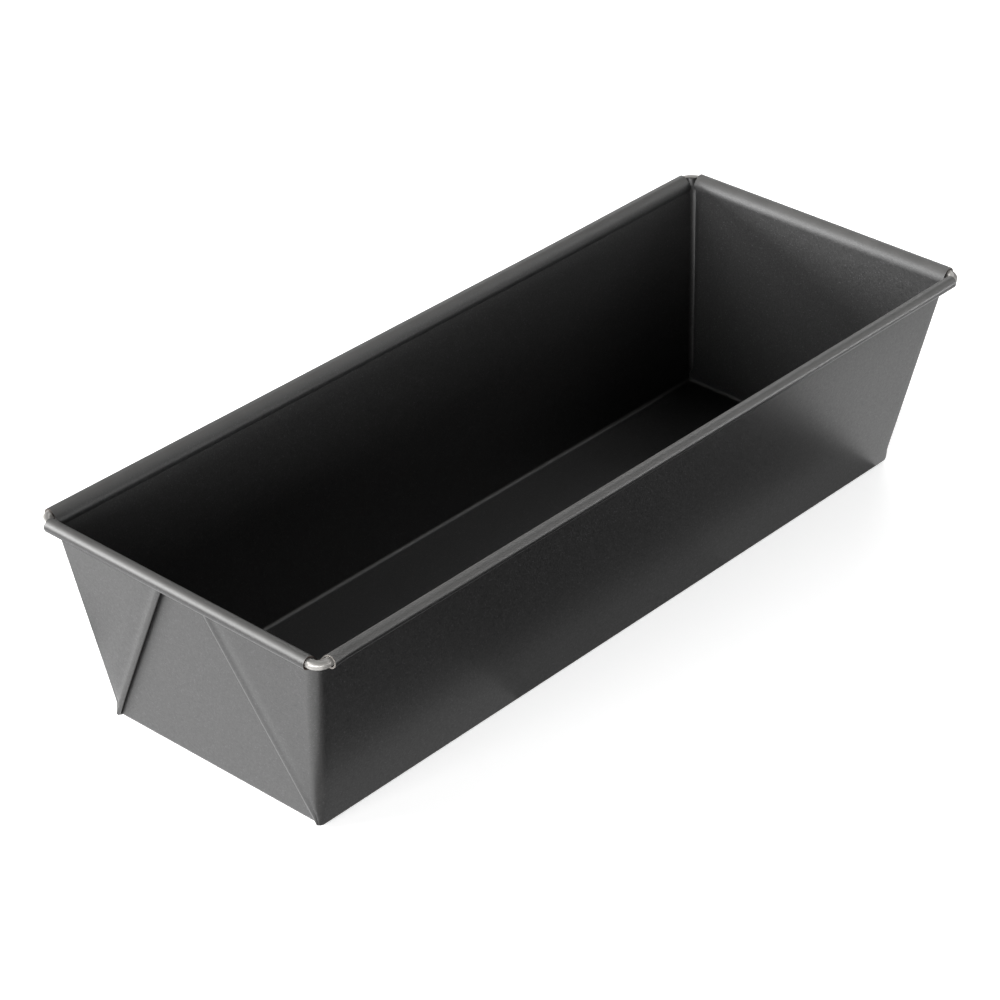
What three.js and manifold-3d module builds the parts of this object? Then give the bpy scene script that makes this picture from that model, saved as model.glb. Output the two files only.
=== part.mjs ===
// A folded sheet-steel loaf pan with flared walls, corner gussets folded flat over the end walls
// and a rim rolled round a steel wire. Millimetres, +Z up, +X along the pan.
// The origin is at the middle of the floor's underside.
import * as THREE from "three";
import { mergeVertices } from "three/addons/utils/BufferGeometryUtils.js";
import Module from "manifold-3d";

const wasm = await Module();
wasm.setup();

// Driving dimensions.
const RIM_LENGTH = 300; // over the rolled rim
const RIM_WIDTH = 112.6;
const PAN_HEIGHT = 69.9;
const FLOOR_LENGTH = 267.3; // where the flat walls, run down, meet the plane of the underside
const FLOOR_WIDTH = 81.7;
const SHEET = 0.5;
const WIRE_DIAMETER = 2.8;
const ROLL_DIAMETER = 4;
const FLOOR_BEND = 1.7; // outside radius between the floor and the walls
const CORNER_BEND = 2.7; // outside radius down each corner
const NECK_GAP = 0.8; // from the outside of a wall, run up to the wire's height, to the roll
const NECK_TURN = THREE.MathUtils.degToRad(50); // turned at the wide neck radius before the tight roll
const ROLL_END = THREE.MathUtils.degToRad(310); // the curl passes over, outside and under the wire
const NOTCH = 6.2; // from the outside of the rim at a corner to the end of each roll
const WIRE_CORNER = 4.5; // bend radius of the wire's centre line
const WIRE_JOINT = 0.4; // between the wire's two ends, which meet inside the roll of one long side
const GUSSET_GAP = 0.3; // between an end wall and the gusset folded over it
const GUSSET_TOP = 65.1; // the gussets stop just under the roll
const GUSSET_LEAN = THREE.MathUtils.degToRad(27.5); // of the fold's free edge, from upright
const CORNER_TAB_TOP = 68.1; // the corner bend stands up behind the bare wire

// Values that follow from them.
const rollRadius = ROLL_DIAMETER / 2;
const wireHeight = PAN_HEIGHT - rollRadius;
const gussetDepth = GUSSET_GAP + 2 * SHEET;
const endRun = (RIM_LENGTH - FLOOR_LENGTH) / 2 - ROLL_DIAMETER - NECK_GAP;
const sideRun = (RIM_WIDTH - FLOOR_WIDTH) / 2 - ROLL_DIAMETER - NECK_GAP;
const rollCut = { x: RIM_LENGTH / 2 - NOTCH, y: RIM_WIDTH / 2 - NOTCH };
const cutHeight = GUSSET_TOP + 0.4; // the walls are cut here, and the necks of the rolls take over
const stemDepth = 1.6; // how far a neck reaches down inside the wall that it grows from
const stemSkin = 0.04; // left of the wall on each side of that stem
const beyond = 10; // how far a cutter reaches past what it cuts

// Fineness of the round stretches.
const CORNER_STEPS = 5;
const BEND_STEPS = 5;
const NECK_STEPS = 4;
const CURL_STEPS = 14;
const WIRE_SIDES = 12;
const WIRE_CORNER_STEPS = 6;

function solidOf(geometry) {
  const bare = geometry.clone();
  bare.deleteAttribute("normal");
  bare.deleteAttribute("uv");
  const merged = mergeVertices(bare, 1e-4);
  return new wasm.Manifold(
    new wasm.Mesh({
      numProp: 3,
      vertProperties: new Float32Array(merged.attributes.position.array),
      triVerts: new Uint32Array(merged.index.array),
    }),
  );
}

function geometryOf(solid) {
  const mesh = solid.getMesh();
  const geometry = new THREE.BufferGeometry();
  geometry.setAttribute("position", new THREE.BufferAttribute(mesh.vertProperties, 3));
  geometry.setIndex(new THREE.BufferAttribute(mesh.triVerts, 1));
  geometry.computeVertexNormals();
  return geometry;
}

function block(xLow, xHigh, yLow, yHigh, zLow, zHigh) {
  const box = new THREE.BoxGeometry(xHigh - xLow, yHigh - yLow, zHigh - zLow);
  box.translate((xLow + xHigh) / 2, (yLow + yHigh) / 2, (zLow + zHigh) / 2);
  return solidOf(box);
}

// One level of a tapered block: a rectangle with round corners, as points round the loop.
function roundedLoop({ z, halfX, halfY, corner }) {
  const points = [];
  for (let quarter = 0; quarter < 4; quarter++) {
    const start = (quarter * Math.PI) / 2;
    const signX = quarter === 0 || quarter === 3 ? 1 : -1;
    const signY = quarter < 2 ? 1 : -1;
    for (let step = 0; step <= CORNER_STEPS; step++) {
      const angle = start + (step * Math.PI) / 2 / CORNER_STEPS;
      const x = signX * (halfX - corner) + corner * Math.cos(angle);
      const y = signY * (halfY - corner) + corner * Math.sin(angle);
      points.push(new THREE.Vector3(x, y, z));
    }
  }
  return points;
}

// A closed solid through a stack of loops, lowest first.
function stack(levels) {
  const loops = levels.map(roundedLoop);
  const count = loops[0].length;
  const positions = loops.flat().flatMap((point) => [point.x, point.y, point.z]);
  const index = [];
  for (let level = 0; level + 1 < loops.length; level++) {
    for (let k = 0; k < count; k++) {
      const next = (k + 1) % count;
      const a = level * count + k;
      const b = level * count + next;
      const c = a + count;
      const d = b + count;
      index.push(a, b, d, a, d, c);
    }
  }
  const top = (loops.length - 1) * count;
  for (let k = 1; k + 1 < count; k++) {
    index.push(0, k + 1, k);
    index.push(top, top + k, top + k + 1);
  }
  const geometry = new THREE.BufferGeometry();
  geometry.setAttribute("position", new THREE.Float32BufferAttribute(positions, 3));
  geometry.setIndex(index);
  return solidOf(geometry);
}

// A tapered block that follows the walls. pushX and pushY move its faces out from the outside of
// the walls, bottomZ is its lowest plane, and bend and corner are its own two radii.
function wallBlock({ pushX, pushY, bottomZ, bend, corner, topZ }) {
  const halfXAt = (z) => FLOOR_LENGTH / 2 + (endRun * z) / wireHeight + pushX;
  const halfYAt = (z) => FLOOR_WIDTH / 2 + (sideRun * z) / wireHeight + pushY;
  const flare = Math.atan((endRun + sideRun) / 2 / wireHeight);
  const levels = [];
  for (let step = 0; step <= BEND_STEPS; step++) {
    const angle = THREE.MathUtils.lerp(-Math.PI / 2, -flare, step / BEND_STEPS);
    const z = bottomZ + bend * (1 + Math.sin(angle));
    const setBack = bend * (Math.cos(flare) - Math.cos(angle));
    const rise = bottomZ + bend * (1 - Math.sin(flare));
    levels.push({
      z,
      halfX: halfXAt(rise) - setBack,
      halfY: halfYAt(rise) - setBack,
      corner: Math.max(corner - setBack, corner / 3),
    });
  }
  levels.push({ z: topZ, halfX: halfXAt(topZ), halfY: halfYAt(topZ), corner });
  return stack(levels);
}

// The area of an end wall that a gusset covers, as a prism running along X: one straight side
// follows the fold's free edge, from the bottom corner up and in towards the middle of the wall.
function gussetPrism(signX, signY) {
  const foot = FLOOR_WIDTH / 2;
  const outer = RIM_WIDTH / 2 + beyond;
  const outline = new THREE.Shape([
    new THREE.Vector2(signY * foot, -beyond),
    new THREE.Vector2(signY * outer, -beyond),
    new THREE.Vector2(signY * outer, CORNER_TAB_TOP),
    new THREE.Vector2(signY * (foot - CORNER_TAB_TOP * Math.tan(GUSSET_LEAN)), CORNER_TAB_TOP),
    new THREE.Vector2(signY * foot, 0),
  ]);
  const depth = RIM_LENGTH / 2;
  const prism = new THREE.ExtrudeGeometry(outline, { depth, bevelEnabled: false });
  // The outline's plane becomes YZ, and the depth runs out along +X.
  prism.applyMatrix4(new THREE.Matrix4().set(0, 0, 1, 0, 1, 0, 0, 0, 0, 1, 0, 0, 0, 0, 0, 1));
  prism.translate(signX > 0 ? FLOOR_LENGTH / 4 : -FLOOR_LENGTH / 4 - depth, 0, 0);
  return solidOf(prism);
}

// Four double-layer gussets. Each joins its long wall round the corner bend and lies over the end
// wall with a narrow gap behind it, open along the slanting free edge.
function gussets() {
  const outside = wallBlock({
    pushX: gussetDepth,
    pushY: 0,
    bottomZ: 0,
    bend: FLOOR_BEND,
    corner: CORNER_BEND,
    topZ: CORNER_TAB_TOP,
  });
  const behind = wallBlock({
    pushX: GUSSET_GAP,
    pushY: SHEET - CORNER_BEND,
    bottomZ: -SHEET,
    bend: FLOOR_BEND,
    corner: CORNER_BEND - 2 * SHEET,
    topZ: PAN_HEIGHT,
  });
  const underRoll = block(
    -RIM_LENGTH, RIM_LENGTH, -rollCut.y, rollCut.y, GUSSET_TOP, PAN_HEIGHT + beyond,
  );
  const flaps = [];
  for (const signX of [-1, 1]) {
    for (const signY of [-1, 1]) {
      flaps.push(outside.intersect(gussetPrism(signX, signY)));
    }
  }
  return flaps.map((flap) => flap.subtract(behind).subtract(underRoll));
}

// The sheet's cross-section at the rim, in a plane square to one wall: a stem inside the wall, the
// neck turning outward, and the curl round the wire. u is the distance out from the pan's middle.
function rimSection(wireOut, run) {
  const flare = Math.atan(run / wireHeight);
  const centre = new THREE.Vector2(wireOut, wireHeight);
  const wallOffset = (NECK_GAP + SHEET) * Math.cos(flare);
  const neckRadius = rollRadius + wallOffset / (1 - Math.cos(NECK_TURN));
  const turned = flare + NECK_TURN;
  const neckCentre = new THREE.Vector2(Math.cos(turned), -Math.sin(turned))
    .multiplyScalar(neckRadius - rollRadius)
    .add(centre);
  const arcPoint = (middle, radius, heading) =>
    new THREE.Vector2(-Math.cos(heading), Math.sin(heading)).multiplyScalar(radius).add(middle);
  const along = (from, to, steps, point) =>
    Array.from({ length: steps + 1 }, (_, k) => point(THREE.MathUtils.lerp(from, to, k / steps)));
  const side = (inset) => [
    ...along(flare, turned, NECK_STEPS, (a) => arcPoint(neckCentre, neckRadius - inset, a)),
    ...along(turned, ROLL_END, CURL_STEPS, (a) => arcPoint(centre, rollRadius - inset, a)).slice(1),
  ];
  const facingIn = side(0);
  const facingOut = side(SHEET);
  // Below the cut the section follows the wall's own slope, a little thinner than the wall.
  const upWall = new THREE.Vector2(Math.sin(flare), Math.cos(flare));
  const wallPoint = (start, height, skin) => {
    const point = upWall.clone().multiplyScalar((height - start.y) / upWall.y).add(start);
    return point.add(new THREE.Vector2(skin, 0));
  };
  const stemFoot = cutHeight - stemDepth;
  const outline = [
    wallPoint(facingIn[0], stemFoot, stemSkin),
    wallPoint(facingIn[0], cutHeight, stemSkin),
    wallPoint(facingIn[0], cutHeight, 0),
    ...facingIn,
    ...facingOut.reverse(),
    wallPoint(facingOut.at(-1), cutHeight, 0),
    wallPoint(facingOut.at(-1), cutHeight, -stemSkin),
    wallPoint(facingOut.at(-1), stemFoot, -stemSkin),
  ];
  return new THREE.Shape(outline);
}

// One straight roll with its neck, turned to face out along +X, +Y, -X or -Y.
function roll(quarterTurns) {
  const facesX = quarterTurns % 2 === 0;
  const wireOut = (facesX ? RIM_LENGTH : RIM_WIDTH) / 2 - rollRadius;
  const halfLength = facesX ? rollCut.y : rollCut.x;
  const section = rimSection(wireOut, facesX ? endRun : sideRun);
  const bar = new THREE.ExtrudeGeometry(section, { depth: 2 * halfLength, bevelEnabled: false });
  bar.translate(0, 0, -halfLength);
  bar.rotateX(Math.PI / 2);
  bar.rotateZ((quarterTurns * Math.PI) / 2);
  return solidOf(bar);
}

function panBody() {
  const outside = wallBlock({
    pushX: 0,
    pushY: 0,
    bottomZ: 0,
    bend: FLOOR_BEND,
    corner: CORNER_BEND,
    topZ: CORNER_TAB_TOP,
  });
  const inside = wallBlock({
    pushX: -SHEET,
    pushY: -SHEET,
    bottomZ: SHEET,
    bend: FLOOR_BEND - SHEET,
    corner: CORNER_BEND - SHEET,
    topZ: PAN_HEIGHT,
  });
  const aboveEnds = block(
    -RIM_LENGTH, RIM_LENGTH, -rollCut.y, rollCut.y, cutHeight, PAN_HEIGHT + beyond,
  );
  const aboveSides = block(
    -rollCut.x, rollCut.x, -RIM_WIDTH, RIM_WIDTH, cutHeight, PAN_HEIGHT + beyond,
  );
  let body = outside.subtract(aboveEnds);
  for (const flap of gussets()) {
    body = body.add(flap);
  }
  body = body.subtract(aboveSides).subtract(inside);
  for (let quarterTurns = 0; quarterTurns < 4; quarterTurns++) {
    body = body.add(roll(quarterTurns));
  }
  return geometryOf(body);
}

// The stations of the wire's centre line, from one end round the four corners to the other end.
// Each has its middle and the direction that points away from the pan.
function wireStations() {
  const halfX = RIM_LENGTH / 2 - rollRadius;
  const halfY = RIM_WIDTH / 2 - rollRadius;
  const towardsY = new THREE.Vector2(0, 1);
  const stations = [{ out: towardsY, middle: new THREE.Vector2(-WIRE_JOINT / 2, halfY) }];
  for (let quarter = 1; quarter <= 4; quarter++) {
    const signX = quarter === 1 || quarter === 2 ? -1 : 1;
    const signY = quarter === 1 || quarter === 4 ? 1 : -1;
    for (let step = 0; step <= WIRE_CORNER_STEPS; step++) {
      const angle = ((quarter + step / WIRE_CORNER_STEPS) * Math.PI) / 2;
      const out = new THREE.Vector2(Math.cos(angle), Math.sin(angle));
      const middle = new THREE.Vector2(signX * (halfX - WIRE_CORNER), signY * (halfY - WIRE_CORNER));
      stations.push({ out, middle: middle.addScaledVector(out, WIRE_CORNER) });
    }
  }
  stations.push({ out: towardsY, middle: new THREE.Vector2(WIRE_JOINT / 2, halfY) });
  return stations;
}

function rimWire() {
  const radius = WIRE_DIAMETER / 2;
  const stations = wireStations();
  const positions = [];
  for (const { out, middle } of stations) {
    for (let k = 0; k < WIRE_SIDES; k++) {
      const angle = (2 * Math.PI * k) / WIRE_SIDES;
      const point = middle.clone().addScaledVector(out, radius * Math.cos(angle));
      positions.push(point.x, point.y, wireHeight + radius * Math.sin(angle));
    }
  }
  const index = [];
  for (let ring = 0; ring + 1 < stations.length; ring++) {
    for (let k = 0; k < WIRE_SIDES; k++) {
      const nextSide = (k + 1) % WIRE_SIDES;
      const a = ring * WIRE_SIDES + k;
      const b = ring * WIRE_SIDES + nextSide;
      index.push(a, a + WIRE_SIDES, b + WIRE_SIDES, a, b + WIRE_SIDES, b);
    }
  }
  const last = (stations.length - 1) * WIRE_SIDES;
  for (let k = 1; k + 1 < WIRE_SIDES; k++) {
    index.push(0, k, k + 1);
    index.push(last, last + k + 1, last + k);
  }
  const geometry = new THREE.BufferGeometry();
  geometry.setAttribute("position", new THREE.Float32BufferAttribute(positions, 3));
  geometry.setIndex(index);
  geometry.computeVertexNormals();
  return geometry;
}

function namedMesh(name, geometry, finish) {
  const mesh = new THREE.Mesh(geometry, new THREE.MeshStandardMaterial(finish));
  mesh.name = name;
  return mesh;
}

const coatedSteel = { color: 0x3a3a3c, roughness: 0.45, metalness: 0.3 };
const brightSteel = { color: 0xc9c7c2, roughness: 0.25, metalness: 1 };

const loafPan = new THREE.Group();
loafPan.add(namedMesh("pan_body", panBody(), coatedSteel));
loafPan.add(namedMesh("rim_wire", rimWire(), brightSteel));

export default loafPan;
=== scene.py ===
"""A folded sheet-steel loaf pan with a dark non-stick coat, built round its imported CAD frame.

The pan is one sheet. At each corner it wraps round from the long wall, lies over the end wall as a
gusset, turns back at the gusset's slanting free edge and turns again into the end wall. The rim is
rolled round a bright steel wire, which shows where the rolls are notched at the corners.
Shapes are worked out in millimetres and made in metres.
"""
import math
from types import SimpleNamespace

import bmesh
import bpy
import numpy as np
from mathutils import Matrix, Vector


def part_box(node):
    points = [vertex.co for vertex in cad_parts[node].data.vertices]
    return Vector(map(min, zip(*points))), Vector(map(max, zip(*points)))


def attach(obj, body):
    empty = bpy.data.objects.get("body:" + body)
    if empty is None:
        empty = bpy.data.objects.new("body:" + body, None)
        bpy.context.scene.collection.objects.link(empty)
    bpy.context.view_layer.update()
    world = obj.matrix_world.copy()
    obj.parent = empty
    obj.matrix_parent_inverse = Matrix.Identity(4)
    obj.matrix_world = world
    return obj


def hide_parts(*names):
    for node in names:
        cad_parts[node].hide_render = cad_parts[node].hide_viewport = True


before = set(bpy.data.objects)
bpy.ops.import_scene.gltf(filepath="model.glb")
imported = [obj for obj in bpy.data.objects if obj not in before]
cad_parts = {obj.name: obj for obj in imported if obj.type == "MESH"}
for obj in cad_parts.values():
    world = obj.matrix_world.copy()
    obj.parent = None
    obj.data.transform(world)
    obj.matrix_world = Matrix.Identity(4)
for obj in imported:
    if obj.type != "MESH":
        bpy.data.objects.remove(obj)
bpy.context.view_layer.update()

MM = 0.001
body_low, body_high = (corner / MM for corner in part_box("pan_body"))
wire_low, wire_high = (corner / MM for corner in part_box("rim_wire"))

# The pan's main sizes, from the frame.
RIM_LENGTH = body_high.x - body_low.x
RIM_WIDTH = body_high.y - body_low.y
WIRE_RADIUS = (wire_high.z - wire_low.z) / 2
WIRE_HEIGHT = (wire_high.z + wire_low.z) / 2
ROLL_RADIUS = body_high.z - WIRE_HEIGHT

# Sizes of the folded sheet.
SHEET = 0.5
HALF = SHEET / 2
FLOOR_LENGTH = 267.3  # where the outside of the flat walls, run down, meets the plane of the underside
FLOOR_WIDTH = 81.7
RIM_TWIST = 0.4  # how far the rim dips or rises at each corner
SPRING = 0.65  # how far out along Y the corner (+x, +y) of the rim is sprung
SPRING_FROM = (60, 10)  # x and y where that starts
NECK_GAP = 0.8  # from the outside of a wall, run up to the wire's height, to the roll
FLOOR_BEND = 1.45  # radius of the middle of the sheet, like the corner bends below
NECK_TURN = math.radians(50)
ROLL_END = math.radians(310)  # the curl passes over, outside and under the wire
PAINTED_HIGHLIGHT_MIDDLE = 100  # degrees round the roll: the middle of the part of it that gets painted highlight
PAINTED_HIGHLIGHT_HALF = 80  # degrees from there to where the painted highlight ends
ROLL_FAN = 10  # power by which a roll's stations fan out towards its ends
CUT_HEIGHT = 65.5  # the walls go on from here into the necks of the rolls
FLAP_TOP = 66.9  # the corner bend's top is low behind the rolls, and higher behind the bare wire
TAB_SLOPE = 0.15  # width of the step between those heights
NECK_WIDTH = 1.0  # the corner bend's top leans out with the neck of the roll over this width
LAYER = 0.53  # from the middle of one pressed layer to the middle of the next
FOLD_RADIUS = 0.4  # of the middle of the sheet at a gusset's free edge, across the wall
FOLD_LENGTH = 1.2  # of that fold's rounding along the wall
FOLD_FOOT = 40.3  # half the distance between two free edges, run down to the underside
FOLD_LEAN = math.radians(27.2)  # of a free edge from upright
GAP_RISE = 0.3  # power by which the gap behind a free edge opens from the bottom up
FOLD_SHARE = 0.6  # and at most this share of the gusset's width, near the floor
CREASE_WIDTH = 2.0  # of the ridge right beside the free edge
BOW_WIDTH = 5.0  # over which the outer layer rises next to that ridge
LOW_CREASE = 0.2  # share of its height that the ridge keeps at the floor
FOLD_GROWTH = 0.8  # the fold reaches its full thickness over this width, from its lowest point
HEM_REACH = 0.3  # of the hem's centre into the corner bend
PINCH = 0.16  # share of their radius that the corner bends keep at the floor
PINCH_TOP = 1.5  # height up to which they do, and from which they open
PAINTED_BEND_HIGHLIGHT = 0.15  # how much painted highlight the bends of the walls get, where that on the rolls' outside is 1
PAINTED_FLOOR_BEND_HIGHLIGHT = 1.0  # and painted highlight on the bends round the floor

END_RUN = RIM_LENGTH / 2 - 2 * ROLL_RADIUS - NECK_GAP - FLOOR_LENGTH / 2
SIDE_RUN = RIM_WIDTH / 2 - 2 * ROLL_RADIUS - NECK_GAP - FLOOR_WIDTH / 2
FLARE = math.atan((END_RUN + SIDE_RUN) / 2 / WIRE_HEIGHT)

# The long rolls are a little thinner than the CAD's and the end rolls a little thicker. Both are
# slightly wavy. On the long wall at -y, the roll's cut end at -x has sprung open and its other end
# is fuller.
LONG_ROLL_RADIUS = ROLL_RADIUS - 0.1
END_ROLL_RADIUS = ROLL_RADIUS + 0.1
WAVE_DEPTH = 0.02
WAVES = ((0.5, 23, 1), (0.3, 11, 2), (0.2, 5.3, 3))  # share of the depth, length and phase of each
SPRUNG_LENGTH = 6
SPRUNG_GROWTH = 0.22  # of the radius
SPRUNG_SHIFT = 0.25  # of the curl, off the wire
FULLER_FROM = 110  # x
FULLER_LENGTH = 30
FULLER_GROWTH = 0.14

# Sizes of the wire.
STREAK_STRETCH = 12  # length of its streaks, as a multiple of their width
WIRE_JOINT = 0.4  # between its two ends, inside the roll of the long wall at +y

# Fineness of the mesh.
SIDE_STEPS = 60  # along half of a long wall
END_STEPS = 24  # along half of an end wall
LAYER_STEPS = 18
FOLD_STEPS = 8
FLOOR_BEND_STEPS = 8
WALL_STEPS = 34
NECK_STEPS = 7
FAN_STEPS = 3
CURL_STEPS = 34
TAB_STEPS = 4
BEND_ANGLES = [0, 12, *range(17, 83, 5), 86, 90]  # degrees round a corner bend
WIRE_SIDES = 32
WIRE_BEND_STEPS = 20
EDGE_CROWDING = 2.2  # power by which stations crowd towards a gusset's free edge
FLOOR_CROWDING = 1.6  # power by which rows crowd towards the floor
SAME_PLACE = 0.002  # vertices closer than this are joined
SHARP_ANGLE = math.radians(50)  # edges bent by more than this look sharp

# Each corner by the signs of its x and y. bend is the radius of its corner bend, and open the height
# where the bend has that radius in full. gap is how far its gusset's free edge stands off the end
# wall at the top, crease the height of the ridge along that edge, and bow how far the outer layer
# swells beside it.
SHEET_CORNERS = {
    (1, 1): dict(bend=2.45, open=6, gap=0.3, crease=0.12, bow=0.2),
    (1, -1): dict(bend=1.7, open=6, gap=0.35, crease=0.12, bow=0.15),
    (-1, -1): dict(bend=3.5, open=12, gap=0.05, crease=0.3, bow=0.25),
    (-1, 1): dict(bend=2.75, open=6, gap=0.75, crease=0.18, bow=0.15),
}
# side_roll and end_roll are |x| and |y| where the rolls are notched for the bare wire, and tab is
# how high the corner bend stands up behind it. wire is the wire's bend radius, and bare how bright
# the side roll's cut end is.
RIM_CORNERS = {
    (1, 1): dict(side_roll=143.7, end_roll=50.2, tab=69.0, wire=4.5, bare=0.0),
    (1, -1): dict(side_roll=143.8, end_roll=50.7, tab=68.4, wire=4.5, bare=0.0),
    (-1, -1): dict(side_roll=143.8, end_roll=50.7, tab=67.7, wire=3.1, bare=0.7),
    (-1, 1): dict(side_roll=144.3, end_roll=50.2, tab=67.5, wire=5.2, bare=0.0),
}
CORNERS = {signs: SHEET_CORNERS[signs] | RIM_CORNERS[signs] for signs in SHEET_CORNERS}


def smooth(t):
    t = min(max(t, 0.0), 1.0)
    return t * t * (3 - 2 * t)


def blend(a, b, t):
    return a + (b - a) * t


def twisted(x, y, z):
    """A place in metres, with the pan's slight twist: its rim dips at two opposite corners, and
    one of them is sprung out a little."""
    height = max(z - SHEET, 0) / WIRE_HEIGHT
    lift = -RIM_TWIST * x / (RIM_LENGTH / 2) * y / (RIM_WIDTH / 2) * height
    far_x = smooth((x - SPRING_FROM[0]) / (RIM_LENGTH / 2 - SPRING_FROM[0]))
    far_y = smooth((y - SPRING_FROM[1]) / (RIM_WIDTH / 2 - SPRING_FROM[1]))
    return x * MM, (y + SPRING * far_x * far_y * height) * MM, (z + lift) * MM


# ---- The sheet: one horizontal row at a time -------------------------------------------------------


def wall_row(z):
    """The middle of the sheet at height z on the flat walls: distances out from the pan's middle,
    a factor on the corner bends' radius, and how much painted highlight the whole row has."""
    slant = HALF / math.cos(FLARE)
    return {
        "z": z,
        "end": FLOOR_LENGTH / 2 + END_RUN * z / WIRE_HEIGHT - slant,
        "side": FLOOR_WIDTH / 2 + SIDE_RUN * z / WIRE_HEIGHT - slant,
        "roundness": 1.0,
        "painted_highlight": 0.0,
    }


def floor_bend_row(step):
    """A row of the bend between the floor and the walls, from the floor (step 0) up."""
    angle = blend(-math.pi / 2, -FLARE, step / FLOOR_BEND_STEPS)
    top = wall_row(HALF + FLOOR_BEND * (1 - math.sin(FLARE)))
    set_back = FLOOR_BEND * (math.cos(FLARE) - math.cos(angle))
    return {
        "z": HALF + FLOOR_BEND * (1 + math.sin(angle)),
        "end": top["end"] - set_back,
        "side": top["side"] - set_back,
        "roundness": 1 - set_back / (FLOOR_BEND * math.cos(FLARE)),
        # painted highlight along the floor bend, strongest half way round it
        "painted_highlight": PAINTED_FLOOR_BEND_HIGHLIGHT * math.sin(math.pi * step / FLOOR_BEND_STEPS),
    }


def bend_share(row, corner):
    """The share of its radius that a corner bend has at one row. It is pinched at the floor."""
    opened = smooth((row["z"] - PINCH_TOP) / (corner["open"] - PINCH_TOP))
    return blend(PINCH, 1, opened) * row["roundness"]


def fold_reach(row, corner):
    """How far a gusset reaches along the end wall, from the corner bend to its free edge."""
    free_edge = FOLD_FOOT - math.tan(FOLD_LEAN) * row["z"]
    return max(row["side"] - corner["bend"] * bend_share(row, corner) - free_edge, 0.0)


def gusset(row, corner):
    """Sizes of one corner at one row. Those called x are outwards from the end wall."""
    reach = fold_reach(row, corner)
    reach_share = reach / fold_reach(wall_row(CUT_HEIGHT), corner)
    roundness = bend_share(row, corner)
    radius = corner["bend"] * roundness
    grown = smooth(reach / FOLD_GROWTH)
    fold_length = min(FOLD_LENGTH * grown, FOLD_SHARE * reach)
    bend_y = row["side"] - radius
    return SimpleNamespace(
        radius=radius,
        bend_y=bend_y,
        outer_x=2 * LAYER * grown,
        inner_x=LAYER * grown,
        edge_x=(LAYER + corner["gap"] * reach_share ** GAP_RISE) * grown,
        fold_radius=FOLD_RADIUS * grown,
        fold_length=fold_length,
        turn_y=bend_y - reach + HALF * grown + fold_length,
        hem_y=bend_y + HEM_REACH * grown * roundness,
        crease=corner["crease"] * grown * blend(LOW_CREASE, 1, reach_share),
        bow=corner["bow"] * grown,
    )


def corner_bend(sizes):
    for degrees in BEND_ANGLES:
        angle = math.radians(degrees)
        x = sizes.outer_x - sizes.radius + sizes.radius * math.sin(angle)
        y = sizes.bend_y + sizes.radius * math.cos(angle)
        # painted highlight, strongest half way round the bend
        yield x, y, PAINTED_BEND_HIGHLIGHT * math.sin(2 * angle)


def outer_layer(sizes):
    """From the corner bend to the free edge. It bows out, and has a ridge right beside the edge, with
    painted highlight on it.
    """
    length = sizes.bend_y - sizes.turn_y
    edge_x = sizes.edge_x + 2 * sizes.fold_radius
    for step in range(1, LAYER_STEPS + 1):
        from_edge = (1 - step / LAYER_STEPS) ** EDGE_CROWDING
        to_edge = from_edge * length
        ridge = smooth(1 - to_edge / CREASE_WIDTH)
        bow = smooth((to_edge - CREASE_WIDTH) / BOW_WIDTH) * (1 - to_edge / max(length, BOW_WIDTH))
        x = blend(edge_x, sizes.outer_x, from_edge) + sizes.bow * bow + sizes.crease * ridge
        yield x, sizes.turn_y + to_edge, PAINTED_BEND_HIGHLIGHT * ridge


def free_edge(sizes):
    """The fold where the outer layer turns back into the inner one, with painted highlight round it."""
    for step in range(1, FOLD_STEPS + 1):
        angle = math.pi * step / FOLD_STEPS
        x = sizes.edge_x + sizes.fold_radius + sizes.fold_radius * math.cos(angle)
        x += sizes.crease * (1 - step / FOLD_STEPS)
        yield x, sizes.turn_y - sizes.fold_length * math.sin(angle), PAINTED_BEND_HIGHLIGHT * math.sin(angle)


def inner_layer(sizes):
    for step in range(1, LAYER_STEPS + 1):
        t = step / LAYER_STEPS
        yield blend(sizes.edge_x, sizes.inner_x, t), blend(sizes.turn_y, sizes.hem_y, t), 0.0


def hem(sizes):
    """The fold where the inner layer turns into the end wall, with painted highlight round it."""
    radius = sizes.inner_x / 2
    for step in range(1, FOLD_STEPS + 1):
        angle = math.pi * step / FOLD_STEPS
        x = radius + radius * math.cos(angle)
        yield x, sizes.hem_y + radius * math.sin(angle), PAINTED_BEND_HIGHLIGHT * math.sin(angle)


def corner_path(row, corner):
    """The sheet's middle round one corner, from the long wall to the end wall: (out along X, out
    along Y, painted highlight) for each point."""
    sizes = gusset(row, corner)
    stretches = (corner_bend, outer_layer, free_edge, inner_layer, hem)
    return [(row["end"] + x, y, painted_highlight) for stretch in stretches for x, y, painted_highlight in stretch(sizes)]


def side_shares():
    """Stations along a long wall between its two corner bends, as shares of half its length."""
    return [k / SIDE_STEPS for k in range(1 - SIDE_STEPS, SIDE_STEPS)]


def end_shares():
    return [k / END_STEPS for k in range(1 - END_STEPS, END_STEPS)]


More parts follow.
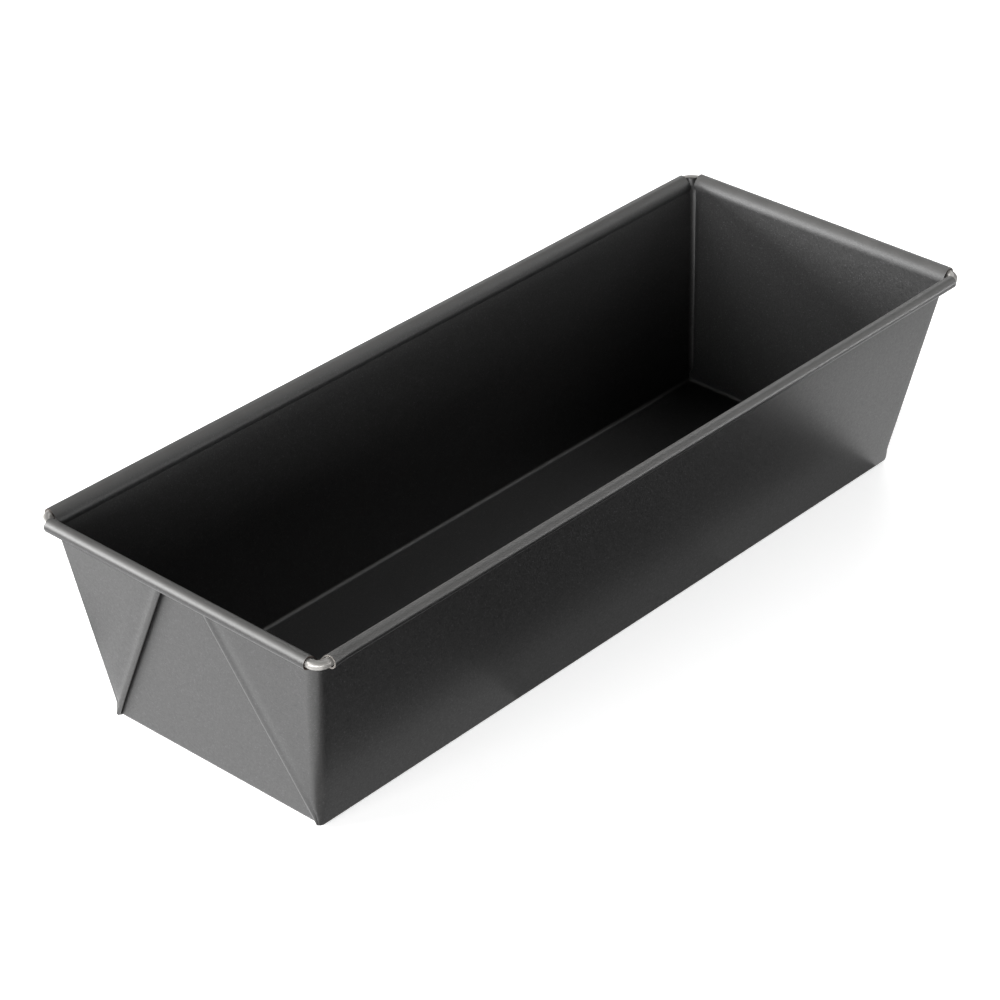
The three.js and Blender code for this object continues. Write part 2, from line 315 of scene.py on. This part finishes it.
def ring(row):
    """All stations of a row in order, clockwise from above, starting at the corner (+x, +y)."""
    points = []
    paths = {signs: corner_path(row, corner) for signs, corner in CORNERS.items()}
    for signs, path in paths.items():
        x_sign, y_sign = signs
        signed = [(x_sign * x, y_sign * y, painted_highlight) for x, y, painted_highlight in path]
        if x_sign == y_sign:
            x, y = path[-1][:2]
            next_y = paths[x_sign, -y_sign][-1][1]
            straight = [
                (x_sign * x, y_sign * blend(y, -next_y, (1 + share) / 2), 0.0)
                for share in end_shares()
            ]
        else:
            signed.reverse()
            x, y = path[0][:2]
            next_x = paths[-x_sign, y_sign][0][0]
            straight = [
                (x_sign * blend(x, -next_x, (1 + share) / 2), y_sign * y, 0.0)
                for share in side_shares()
            ]
        points += signed + straight
    # Each point keeps the larger of its own painted highlight and its row's.
    return [(x, y, row["z"], max(painted_highlight, row["painted_highlight"])) for x, y, painted_highlight in points]


def row_heights():
    """Heights of the wall rows, closer together near the floor."""
    low = floor_bend_row(FLOOR_BEND_STEPS)["z"]
    shares = [(k / WALL_STEPS) ** FLOOR_CROWDING for k in range(1, WALL_STEPS + 1)]
    return [blend(low, CUT_HEIGHT, share) for share in shares]


# ---- The rolled rim --------------------------------------------------------------------------------


def roll_profile(wire_out, run, radius, shift=0.0):
    """The middle of the sheet from the top of a wall round the wire, as (out, z, painted highlight)
    points.
    shift moves the curl outwards, off the wire."""
    flare = math.atan(run / WIRE_HEIGHT)
    gap = NECK_GAP + ROLL_RADIUS - radius + shift
    neck_radius = radius + (gap + SHEET) * math.cos(flare) / (1 - math.cos(NECK_TURN))
    turned = flare + NECK_TURN
    centre = (wire_out + shift, WIRE_HEIGHT)
    neck_centre = (
        centre[0] + (neck_radius - radius) * math.cos(turned),
        centre[1] - (neck_radius - radius) * math.sin(turned),
    )
    points = []
    for middle, r, start, finish, steps in (
        (neck_centre, neck_radius - HALF, flare, turned, NECK_STEPS),
        (centre, radius - HALF, turned, ROLL_END, CURL_STEPS),
    ):
        for step in range(0 if not points else 1, steps + 1):
            heading = blend(start, finish, step / steps)
            # Painted highlight over the roll's outside, strongest at the middle heading and gone past
            # the half width.
            from_middle = abs(math.degrees(heading) - PAINTED_HIGHLIGHT_MIDDLE)
            painted_highlight = smooth(2 * (1 - from_middle / PAINTED_HIGHLIGHT_HALF))
            points.append((middle[0] - r * math.cos(heading), middle[1] + r * math.sin(heading), painted_highlight))
    return points


def waviness(distance, seed):
    """A slight unevenness along a rolled edge."""
    waves = (share * math.sin(distance / length + phase * seed) for share, length, phase in WAVES)
    return WAVE_DEPTH * sum(waves)


class Sheet:
    """Vertices and faces of the middle of the sheet, with two values at each vertex: how much
    painted highlight, a paler grey, the coat gets there, and how much of the steel's cut edge shows
    there."""

    def __init__(self):
        self.points = []
        self.painted_highlight = []
        self.bare = []
        self.faces = []

    def add(self, x, y, z, painted_highlight=0.0, bare=0.0):
        self.points.append(twisted(x, y, z))
        self.painted_highlight.append(painted_highlight)
        self.bare.append(bare)
        return len(self.points) - 1

    def join(self, low, high):
        """Quads between two rows of equally many vertices."""
        for k in range(len(low) - 1):
            self.faces.append((low[k], low[k + 1], high[k + 1], high[k]))


def pan_sheet():
    sheet = Sheet()
    rows = [floor_bend_row(step) for step in range(FLOOR_BEND_STEPS + 1)]
    rows += [wall_row(z) for z in row_heights()]
    rings = [[sheet.add(*point) for point in ring(row)] for row in rows]
    for low, high in zip(rings, rings[1:]):
        sheet.join(low + low[:1], high + high[:1])
    add_floor(sheet, rows[0])
    add_rim(sheet, rings[-1])
    return sheet


def add_floor(sheet, row):
    """The floor, on the same stations as the walls, so that their edges meet vertex to vertex."""
    xs = [row["end"] * share for share in [-1.0, *side_shares(), 1.0]]
    ys = [row["side"] * share for share in [-1.0, *end_shares(), 1.0]]
    lines = [[sheet.add(x, y, row["z"]) for x in xs] for y in ys]
    for low, high in zip(lines, lines[1:]):
        sheet.join(low, high)


def add_rim(sheet, top):
    """Rolls along the four walls and a tab at each corner, all growing from the top row."""
    corner_count = len(corner_path(wall_row(CUT_HEIGHT), CORNERS[1, 1]))
    straight_counts = {True: len(end_shares()), False: len(side_shares())}
    start = {}
    place = 0
    for x_sign, y_sign in CORNERS:
        start[x_sign, y_sign] = place
        place += corner_count + straight_counts[x_sign == y_sign]

    def station(signs, k):
        """The k-th station of a corner's path, counted from its long wall."""
        return top[start[signs] + (k if signs[0] == signs[1] else corner_count - 1 - k)]

    def straight(signs):
        """The straight stations that follow a corner."""
        first = start[signs] + corner_count
        return top[first:first + straight_counts[signs[0] == signs[1]]]

    for a, b in (((1, -1), (-1, -1)), ((-1, 1), (1, 1))):
        stations = [station(a, 1), station(a, 0), *straight(a), station(b, 0), station(b, 1)]
        add_roll(sheet, stations, along_x=True, sign=a[1])
    last = corner_count - 1
    for a, b in (((1, 1), (1, -1)), ((-1, -1), (-1, 1))):
        stations = [station(a, last), *straight(a), station(b, last)]
        add_roll(sheet, stations, along_x=False, sign=a[0])
    for signs, corner in CORNERS.items():
        stations = [station(signs, k) for k in range(1, len(BEND_ANGLES) + 1)]
        add_tab(sheet, stations, corner)


def add_roll(sheet, stations, along_x, sign):
    """A roll with its neck, from a wall's top stations round the wire. Its ends fan out a little,
    from the end of the wall under it to the notch."""
    wire_out = (RIM_WIDTH if along_x else RIM_LENGTH) / 2 - ROLL_RADIUS
    run = SIDE_RUN if along_x else END_RUN
    positions = [sheet.points[station][0 if along_x else 1] / MM for station in stations]
    wall_ends = {math.copysign(1, end): abs(end) for end in (positions[0], positions[-1])}
    columns = []
    for station, position in zip(stations, positions):
        half = math.copysign(1, position)
        corner = CORNERS[(half, sign) if along_x else (sign, half)]
        notch = corner["side_roll" if along_x else "end_roll"]
        fan = half * (notch - wall_ends[half]) * (abs(position) / wall_ends[half]) ** ROLL_FAN
        bare = corner["bare"] if along_x and station in (stations[0], stations[-1]) else 0.0
        radius, shift = roll_size(position, along_x, sign)
        column = [station]
        for k, (out, z, painted_highlight) in enumerate(roll_profile(wire_out, run, radius, shift)):
            place = position + fan * min((k + 1) / FAN_STEPS, 1.0)
            spot = (place, sign * out) if along_x else (sign * out, place)
            column.append(sheet.add(*spot, z, painted_highlight, bare))
        columns.append(column)
    for low, high in zip(columns, columns[1:]):
        sheet.join(low, high)


def roll_size(position, along_x, sign):
    """Radius of a roll's outside and how far its curl stands off the wire, at one station."""
    if not along_x:
        return END_ROLL_RADIUS + waviness(position, sign), 0.0
    radius = LONG_ROLL_RADIUS + waviness(position, 2 * sign)
    if sign > 0:
        return radius, 0.0
    sprung = smooth(1 - (position + CORNERS[-1, -1]["side_roll"]) / SPRUNG_LENGTH)
    fuller = smooth((position - FULLER_FROM) / FULLER_LENGTH)
    return radius + SPRUNG_GROWTH * sprung + FULLER_GROWTH * fuller, SPRUNG_SHIFT * sprung


def neck_lean(z, run):
    """How far the neck of a roll has turned outwards at height z from the straight line of the wall."""
    flare = math.atan(run / WIRE_HEIGHT)
    profile = roll_profile(0.0, run, ROLL_RADIUS)[:NECK_STEPS + 1]
    outs, heights = [point[0] for point in profile], [point[1] for point in profile]
    straight = outs[0] + (z - heights[0]) * math.tan(flare)
    return max(float(np.interp(z, heights, outs)) - straight, 0.0)


def add_tab(sheet, stations, corner):
    """The corner bend's top, standing up behind the bare wire. It is low behind the two rolls, and
    slopes away to nothing along the gusset."""
    places = [tuple(value / MM for value in sheet.points[station][:2]) for station in stations]
    heights = []
    for x, y in places:
        past_side = smooth((abs(x) + 2 * TAB_SLOPE - corner["side_roll"]) / TAB_SLOPE)
        past_end = smooth((abs(y) - corner["end_roll"]) / TAB_SLOPE)
        heights.append(blend(FLAP_TOP, corner["tab"], past_side * past_end))
    heights[-1] = CUT_HEIGHT
    low = stations
    for step in range(1, TAB_STEPS + 1):
        high = []
        for (x, y), height in zip(places, heights):
            lift = (height - CUT_HEIGHT) * step / TAB_STEPS
            with_side = smooth(1 - (abs(x) - corner["side_roll"]) / NECK_WIDTH)
            with_end = smooth(1 - (abs(y) - corner["end_roll"]) / NECK_WIDTH)
            if height < corner["tab"] - TAB_SLOPE:
                with_side = with_end = 0.0
            z = CUT_HEIGHT + lift
            out_x = END_RUN / WIRE_HEIGHT * lift + with_end * neck_lean(z, END_RUN)
            out_y = SIDE_RUN / WIRE_HEIGHT * lift + with_side * neck_lean(z, SIDE_RUN)
            high.append(sheet.add(x + math.copysign(out_x, x), y + math.copysign(out_y, y), z))
        sheet.join(low, high)
        low = high


# ---- Meshes ----------------------------------------------------------------------------------------


def made_object(name, mesh, materials):
    thing = bpy.data.objects.new(name, mesh)
    bpy.context.scene.collection.objects.link(thing)
    for material in materials:
        mesh.materials.append(material)
    return thing


def make_pan(materials):
    sheet = pan_sheet()
    mesh = bpy.data.meshes.new("pan_sheet")
    mesh.from_pydata(sheet.points, [], sheet.faces)
    # The painted highlight and the bare steel go onto the mesh as vertex values.
    for name, values in (("painted_highlight", sheet.painted_highlight), ("bare", sheet.bare)):
        attribute = mesh.attributes.new(name, "FLOAT", "POINT")
        attribute.data.foreach_set("value", np.array(values, np.float32))
    work = bmesh.new()
    work.from_mesh(mesh)
    bmesh.ops.remove_doubles(work, verts=work.verts, dist=SAME_PLACE * MM)
    bmesh.ops.recalc_face_normals(work, faces=work.faces)
    for face in work.faces:
        face.smooth = True
    work.to_mesh(mesh)
    work.free()
    pan = made_object("folded_pan", mesh, materials)
    thick = pan.modifiers.new("sheet", "SOLIDIFY")
    thick.thickness = SHEET * MM
    thick.offset = 0
    thick.use_quality_normals = True
    thick.material_offset_rim = 1
    apply_modifiers(pan)
    pan.data.set_sharp_from_angle(angle=SHARP_ANGLE)
    return pan


def apply_modifiers(thing):
    """The mesh as its modifiers leave it, kept as plain geometry."""
    graph = bpy.context.evaluated_depsgraph_get()
    mesh = bpy.data.meshes.new_from_object(thing.evaluated_get(graph), depsgraph=graph)
    thing.modifiers.clear()
    thing.data = mesh


def wire_stations():
    """(middle x, middle y, direction out) along the wire's centre line, end to end."""
    half_x = RIM_LENGTH / 2 - ROLL_RADIUS
    half_y = RIM_WIDTH / 2 - ROLL_RADIUS
    stations = [(-WIRE_JOINT / 2, half_y, math.pi / 2)]
    for quarter, (x_sign, y_sign) in enumerate([(-1, 1), (-1, -1), (1, -1), (1, 1)], start=1):
        bend = CORNERS[x_sign, y_sign]["wire"]
        for step in range(WIRE_BEND_STEPS + 1):
            angle = (quarter + step / WIRE_BEND_STEPS) * math.pi / 2
            x = x_sign * (half_x - bend) + bend * math.cos(angle)
            y = y_sign * (half_y - bend) + bend * math.sin(angle)
            stations.append((x, y, angle))
    stations.append((WIRE_JOINT / 2, half_y, math.pi / 2))
    return stations


def make_wire(material):
    stations = wire_stations()
    points = []
    streaks = []
    faces = []
    for x, y, out in stations:
        for k in range(WIRE_SIDES):
            angle = 2 * math.pi * k / WIRE_SIDES
            reach = WIRE_RADIUS * math.cos(angle)
            z = WIRE_HEIGHT + WIRE_RADIUS * math.sin(angle)
            points.append(twisted(x + reach * math.cos(out), y + reach * math.sin(out), z))
            # Round the wire in full, and squeezed along it, so that a noise on this makes streaks.
            along = (abs(x) + abs(y)) / STREAK_STRETCH
            streaks += [reach * MM, (z - WIRE_HEIGHT) * MM, along * MM]
    for r in range(len(stations) - 1):
        for k in range(WIRE_SIDES):
            a = r * WIRE_SIDES + k
            b = r * WIRE_SIDES + (k + 1) % WIRE_SIDES
            faces.append((a, a + WIRE_SIDES, b + WIRE_SIDES, b))
    last = (len(stations) - 1) * WIRE_SIDES
    faces.append(tuple(range(WIRE_SIDES)))
    faces.append(tuple(last + k for k in reversed(range(WIRE_SIDES))))
    mesh = bpy.data.meshes.new("wire")
    mesh.from_pydata(points, [], faces)
    mesh.attributes.new("streak", "FLOAT_VECTOR", "POINT").data.foreach_set("vector", streaks)
    mesh.polygons.foreach_set("use_smooth", [True] * len(faces))
    wire = made_object("bent_rim_wire", mesh, [material])
    mesh.set_sharp_from_angle(angle=SHARP_ANGLE)
    return wire


# ---- Materials -------------------------------------------------------------------------------------


FLECK_EDGE = 0.9  # how sharply a fleck starts
COAT_IOR = 1.5
COAT_DARK = (0.005, 0.005, 0.0053, 1)
COAT_PALE = (0.020, 0.0198, 0.0196, 1)
COAT_FLECK = (0.035, 0.034, 0.036, 1)
# A paler grey painted on as highlight over the rolls' outside, the bends and the gusset ridges.
COAT_PAINTED_HIGHLIGHT = (0.064, 0.063, 0.061, 1)
PAINTED_HIGHLIGHT_ROUGHNESS = 0.13  # extra roughness where the painted highlight is
STEEL_DARK = (0.25, 0.243, 0.232, 1)
STEEL_PALE = (0.33, 0.32, 0.305, 1)
STEEL_METALLIC = 0.5  # its dull skin mirrors less than clean steel
EDGE_DARK = (0.018, 0.013, 0.011, 1)
EDGE_BROWN = (0.045, 0.033, 0.027, 1)
EDGE_BARE = (0.24, 0.225, 0.21, 1)


class Graph:
    """One procedural material, with short calls for its nodes. Sizes are in millimetres."""

    def __init__(self, name, **sockets):
        self.material = bpy.data.materials.new(name)
        self.material.use_nodes = True
        self.tree = self.material.node_tree
        self.shader = self.tree.nodes["Principled BSDF"]
        for socket, value in sockets.items():
            self.shader.inputs[socket.replace("_", " ")].default_value = value
        self.place = self.node("ShaderNodeTexCoord", {}).outputs["Object"]

    def node(self, kind, inputs):
        """A new node. Each input is a number, a colour or another node's output."""
        made = self.tree.nodes.new(kind)
        for socket, value in inputs.items():
            if isinstance(value, bpy.types.NodeSocket):
                self.tree.links.new(value, made.inputs[socket])
            else:
                made.inputs[socket].default_value = value
        return made

    def noise(self, size, detail=2.0, place=None):
        inputs = {"Vector": place or self.place, "Scale": 1 / (size * MM), "Detail": detail}
        return self.node("ShaderNodeTexNoise", inputs).outputs["Fac"]

    def remap(self, value, low, high, to_low=0.0, to_high=1.0):
        """value from between low and high, clamped, to between to_low and to_high."""
        inputs = {
            "Value": value, "From Min": low, "From Max": high, "To Min": to_low, "To Max": to_high,
        }
        return self.node("ShaderNodeMapRange", inputs).outputs["Result"]

    def flecks(self, size, share):
        """1 on a random share of small cells, and 0 elsewhere."""
        cells = self.node("ShaderNodeTexVoronoi", {"Vector": self.place, "Scale": 1 / (size * MM)})
        pick = self.node("ShaderNodeSeparateColor", {"Color": cells.outputs["Color"]}).outputs["Red"]
        return self.remap(pick, 1 - share, 1 - share * FLECK_EDGE)

    def combine(self, operation, a, b):
        made = self.node("ShaderNodeMath", {0: a, 1: b})
        made.operation = operation
        return made.outputs[0]

    def mix(self, factor, a, b):
        made = self.tree.nodes.new("ShaderNodeMix")
        made.data_type = "RGBA"
        for socket, value in ((0, factor), (6, a), (7, b)):
            if isinstance(value, bpy.types.NodeSocket):
                self.tree.links.new(value, made.inputs[socket])
            else:
                made.inputs[socket].default_value = value
        return made.outputs[2]

    def attribute(self, name, output="Fac"):
        made = self.tree.nodes.new("ShaderNodeAttribute")
        made.attribute_name = name
        return made.outputs[output]

    def bump(self, height, depth, under=None):
        """Relief of the given depth, on top of another relief if there is one."""
        made = self.node("ShaderNodeBump", {"Height": height, "Distance": depth * MM})
        if under is not None:
            self.tree.links.new(under, made.inputs["Normal"])
        return made.outputs["Normal"]

    def feed(self, **links):
        for socket, value in links.items():
            self.tree.links.new(value, self.shader.inputs[socket.replace("_", " ")])
        return self.material


def coat_material():
    """Satin charcoal non-stick coat: orange peel, a fine grain with a few paler flecks, and a paler
    and rougher grey painted on as highlight over the rolls' outside, the bends and the gusset ridges."""
    graph = Graph("nonstick_coat", IOR=COAT_IOR)
    fine = graph.remap(graph.noise(0.5, detail=3), 0.3, 0.7)
    colour = graph.mix(fine, COAT_DARK, COAT_PALE)
    colour = graph.mix(graph.flecks(0.3, 0.03), colour, COAT_FLECK)
    # Painted highlight: the paler grey, a little patchy, mixed in by the mesh's highlight value.
    patchy = graph.remap(graph.noise(9), 0.3, 0.75, 0.75, 1.0)
    highlight_share = graph.combine("MULTIPLY", graph.attribute("painted_highlight"), patchy)
    colour = graph.mix(highlight_share, colour, COAT_PAINTED_HIGHLIGHT)
    roughness = graph.remap(graph.noise(0.9), 0.3, 0.7, 0.36, 0.44)
    rougher = graph.combine("MULTIPLY", highlight_share, PAINTED_HIGHLIGHT_ROUGHNESS)
    roughness = graph.combine("ADD", roughness, rougher)
    relief = graph.bump(graph.noise(0.45), 0.006)
    relief = graph.bump(graph.noise(30, detail=1), 0.05, under=relief)
    return graph.feed(Base_Color=colour, Roughness=roughness, Normal=relief)


def steel_material():
    """Drawn steel wire with a dull grey skin: satin, with fine streaks along its length."""
    graph = Graph("bright_wire", Metallic=STEEL_METALLIC)
    streaks = graph.noise(1.0, detail=3, place=graph.attribute("streak", "Vector"))
    colour = graph.mix(graph.remap(streaks, 0.3, 0.7), STEEL_DARK, STEEL_PALE)
    roughness = graph.remap(streaks, 0.3, 0.7, 0.48, 0.38)
    relief = graph.bump(streaks, 0.008)
    return graph.feed(Base_Color=colour, Roughness=roughness, Normal=relief)


def cut_edge_material():
    """The sheet's cut edges: mostly coated or browned by heat, and bare steel at one notch."""
    graph = Graph("cut_edge", IOR=COAT_IOR)
    bare = graph.attribute("bare")
    patchy = graph.remap(graph.noise(0.6, detail=3), 0.35, 0.65)
    colour = graph.mix(bare, graph.mix(patchy, EDGE_DARK, EDGE_BROWN), EDGE_BARE)
    roughness = graph.remap(patchy, 0, 1, 0.4, 0.55)
    relief = graph.bump(graph.noise(0.15), 0.01)
    return graph.feed(Base_Color=colour, Metallic=bare, Roughness=roughness, Normal=relief)


# ---- Camera, floor and light -----------------------------------------------------------------------

CAMERA_PLACE = (-694.731, -586.842, 590.177)
CAMERA_AZIMUTH = math.radians(-49.160)  # from looking along +Y
CAMERA_ELEVATION = math.radians(31.656)
CAMERA_ROLL = 0.01271  # radians
CAMERA_LENS = 125.440
CAMERA_SENSOR = 36
CAMERA_SHIFT = (0.00830, 0.00031)
CAMERA_CLIP = (0.01, 50)  # metres


def make_camera():
    data = bpy.data.cameras.new("camera")
    data.lens = CAMERA_LENS
    data.sensor_width = CAMERA_SENSOR
    data.shift_x, data.shift_y = CAMERA_SHIFT
    data.clip_start, data.clip_end = CAMERA_CLIP
    camera = bpy.data.objects.new("camera", data)
    bpy.context.scene.collection.objects.link(camera)
    a, e = CAMERA_AZIMUTH, CAMERA_ELEVATION
    back = Vector((math.sin(a) * math.cos(e), -math.cos(a) * math.cos(e), math.sin(e)))
    level = Vector((math.cos(a), math.sin(a), 0))
    above = back.cross(level)
    right = level * math.cos(CAMERA_ROLL) + above * math.sin(CAMERA_ROLL)
    up = above * math.cos(CAMERA_ROLL) - level * math.sin(CAMERA_ROLL)
    turn = Matrix((right, up, back)).transposed()
    camera.matrix_world = Matrix.Translation(Vector(CAMERA_PLACE) * MM) @ turn.to_4x4()
    bpy.context.scene.camera = camera


# The floor is a disc that curves up all round into a backdrop. Sizes in metres.
FLOOR_RADIUS = 4.0
COVE_RADIUS = 1.5
COVE_STEPS = 12
FLOOR_SIDES = 96
FLOOR_DROP = 0.05 * MM  # below the pan, so that the two faces don't coincide
FLOOR_GREY = (0.85, 0.85, 0.85, 1)
FLOOR_GLOW = 0.55  # lifts the floor to near white, shadows included

# Soft boxes round the pan: azimuth from +X and elevation in degrees, side in metres, brightness.
SOFT_BOX_DISTANCE = 2.0
SOFT_BOX_AIM = Vector((0, 0, 40 * MM))  # they all face this place
SOFT_BOXES = {
    "key": (120, 8, 0.7, 85),
    "left": (180, 8, 0.7, 25),
    "near_left": (210, 8, 0.7, 16),
    "near": (240, 8, 0.7, 10.5),
    "front": (300, 8, 0.7, 5),
    "back_right": (30, 32, 0.9, 3.6),
    "back_left": (142, 34, 0.9, 9.5),
    "front_right": (330, 32, 0.9, 3.5),
    "end_high": (0, 60, 0.9, 2.3),
}
# Bright cards lying beside the pan, which its outside mirrors: lowest and highest x, then y, in
# millimetres, and brightness.
CARD_HEIGHT = 0.3
CARDS = {
    "left_card": (-280, -150, -60, 60, 2.0),
    "left_back_card": (-280, -150, 60, 300, 2.35),
    "left_strip": (-150, -133, -41, 70, 1.9),
    "near_corner_card": (-240, -152, -140, -62, 2.2),
    "front_left_strip": (-140, -50, -57, -41, 0.5),
    "front_strip": (-50, 50, -57, -41, 0.3),
    "front_right_strip": (50, 130, -57, -41, 0.35),
    "right_card": (130, 280, -100, -41, 1.5),
    "far_right_card": (200, 700, -600, -200, 11),
    "far_card": (134, 280, -41, 60, 1.0),
    "back_card": (-130, 130, 42, 140, 0.6),
}


def bowl():
    """Points and faces of a flat disc that curves up all round."""
    points = []
    for step in range(COVE_STEPS + 1):
        rise = math.pi / 2 * step / COVE_STEPS
        out = FLOOR_RADIUS + COVE_RADIUS * math.sin(rise)
        z = COVE_RADIUS * (1 - math.cos(rise)) - FLOOR_DROP
        for side in range(FLOOR_SIDES):
            around = 2 * math.pi * side / FLOOR_SIDES
            points.append((out * math.cos(around), out * math.sin(around), z))
    faces = [tuple(range(FLOOR_SIDES))]
    for first in range(0, COVE_STEPS * FLOOR_SIDES, FLOOR_SIDES):
        for side in range(FLOOR_SIDES):
            a, b = first + side, first + (side + 1) % FLOOR_SIDES
            faces.append((a, b, b + FLOOR_SIDES, a + FLOOR_SIDES))
    return points, faces


def make_floor():
    points, faces = bowl()
    mesh = bpy.data.meshes.new("floor")
    mesh.from_pydata(points, [], faces)
    mesh.polygons.foreach_set("use_smooth", [False] + [True] * (len(faces) - 1))
    graph = Graph(
        "pale_floor",
        Base_Color=FLOOR_GREY,
        Roughness=0.9,
        Emission_Color=(1, 1, 1, 1),
        Emission_Strength=FLOOR_GLOW,
    )
    floor = made_object("floor", mesh, [graph.material])
    # The dark coat mirrors the cards and the soft boxes, not the whole floor.
    floor.visible_glossy = False
    floor.visible_diffuse = False


def make_light(name, place, facing, size, brightness):
    """A rectangular light at a place in metres, shining towards facing."""
    data = bpy.data.lights.new(name, "AREA")
    data.shape = "RECTANGLE"
    data.size, data.size_y = size
    data.energy = math.pi * size[0] * size[1] * brightness
    light = bpy.data.objects.new(name, data)
    bpy.context.scene.collection.objects.link(light)
    light.location = place
    light.rotation_euler = (-facing).to_track_quat("Z", "Y").to_euler()
    light.visible_camera = False


def make_lights():
    for name, (azimuth, elevation, side, brightness) in SOFT_BOXES.items():
        a, e = math.radians(azimuth), math.radians(elevation)
        away = Vector((math.cos(a) * math.cos(e), math.sin(a) * math.cos(e), math.sin(e)))
        place = away * SOFT_BOX_DISTANCE
        make_light(name, place, SOFT_BOX_AIM - place, (side, side), brightness)
    for name, (x_low, x_high, y_low, y_high, brightness) in CARDS.items():
        place = Vector(((x_low + x_high) / 2, (y_low + y_high) / 2, CARD_HEIGHT)) * MM
        size = ((x_high - x_low) * MM, (y_high - y_low) * MM)
        make_light(name, place, Vector((0, 0, 1)), size, brightness)


make_camera()
make_floor()
make_lights()

pan = make_pan([coat_material(), cut_edge_material()])
wire = make_wire(steel_material())
for piece, node, slot in ((pan, "pan_body", "nonstick_coat"), (wire, "rim_wire", "bright_wire")):
    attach(piece, "root")
    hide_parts(node)

bpy.context.scene.view_settings.view_transform = "Standard"
